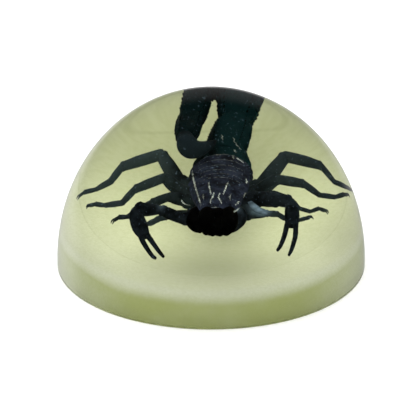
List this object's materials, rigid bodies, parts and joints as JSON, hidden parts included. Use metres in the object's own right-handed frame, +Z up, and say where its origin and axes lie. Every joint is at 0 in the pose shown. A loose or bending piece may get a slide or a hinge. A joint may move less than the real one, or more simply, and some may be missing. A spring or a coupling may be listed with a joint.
{
  "type": "scorpion in resin block",
  "caption": "Clear domed resin paperweight with a flat underside, a pale green glow layer at its foot and a dried black scorpion sealed inside.",
  "frame": {"origin": "centre of the flat underside, on the surface that the dome stands on", "axes": "+Z up through the top of the dome; -Y is the front, where the scorpion's head points; +X is to the right seen from the front"},
  "size_m": [0.0482, 0.0482, 0.0279],
  "materials": {
    "clear_resin": "clear casting resin, polished, very slightly yellow-green",
    "glow_resin": "opaque pale green glow pigment in resin",
    "black_chitin": "blue-black horny skin, satin, finely granulated"
  },
  "bodies": {
    "root": {"glow_base": "glow_resin", "resin_dome_lower": "clear_resin", "resin_dome_upper": "clear_resin", "scorpion": "black_chitin"}
  },
  "joints": []
}
